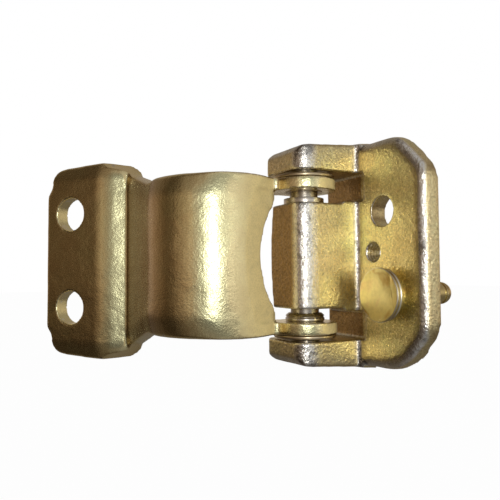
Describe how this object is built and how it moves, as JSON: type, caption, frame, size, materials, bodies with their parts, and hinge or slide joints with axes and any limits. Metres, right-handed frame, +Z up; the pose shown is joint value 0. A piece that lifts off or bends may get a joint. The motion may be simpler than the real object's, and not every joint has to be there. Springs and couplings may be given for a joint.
{
  "type": "car door hinge",
  "caption": "Forged car door hinge: a pillar plate with a slotted knuckle, joined by a pressed pin to a goose-neck arm with a bolt-on flange for the door.",
  "frame": {"origin": "on the plate's flat mounting face, at mid height", "axes": "+Z up along the hinge pin, +Y out of the mounting face into the pillar, +X along the plate away from the door arm"},
  "size_m": [0.121, 0.0958, 0.0718],
  "materials": {
    "plated_forging": "rough forged skin under yellow zinc plating",
    "bare_steel": "turned steel",
    "bush_bronze": "turned bearing bronze",
    "polished_plating": "smooth steel under yellow zinc plating"
  },
  "bodies": {
    "pillar": {"pillar_bracket": "plated_forging", "hinge_pin": "bare_steel", "boss_washer": "bare_steel", "pin_collar": "bare_steel", "headed_stud": "polished_plating", "stud_spacer": "polished_plating"},
    "door": {"door_arm": "plated_forging", "upper_bush": "bush_bronze", "lower_bush": "bush_bronze"}
  },
  "joints": [
    {"name": "door_hinge", "type": "hinge", "parent": "pillar", "child": "door", "pos_m": [-0.024, -0.018, 0], "axis": [0, 0, 1], "range_deg": [-36, 40]}
  ]
}
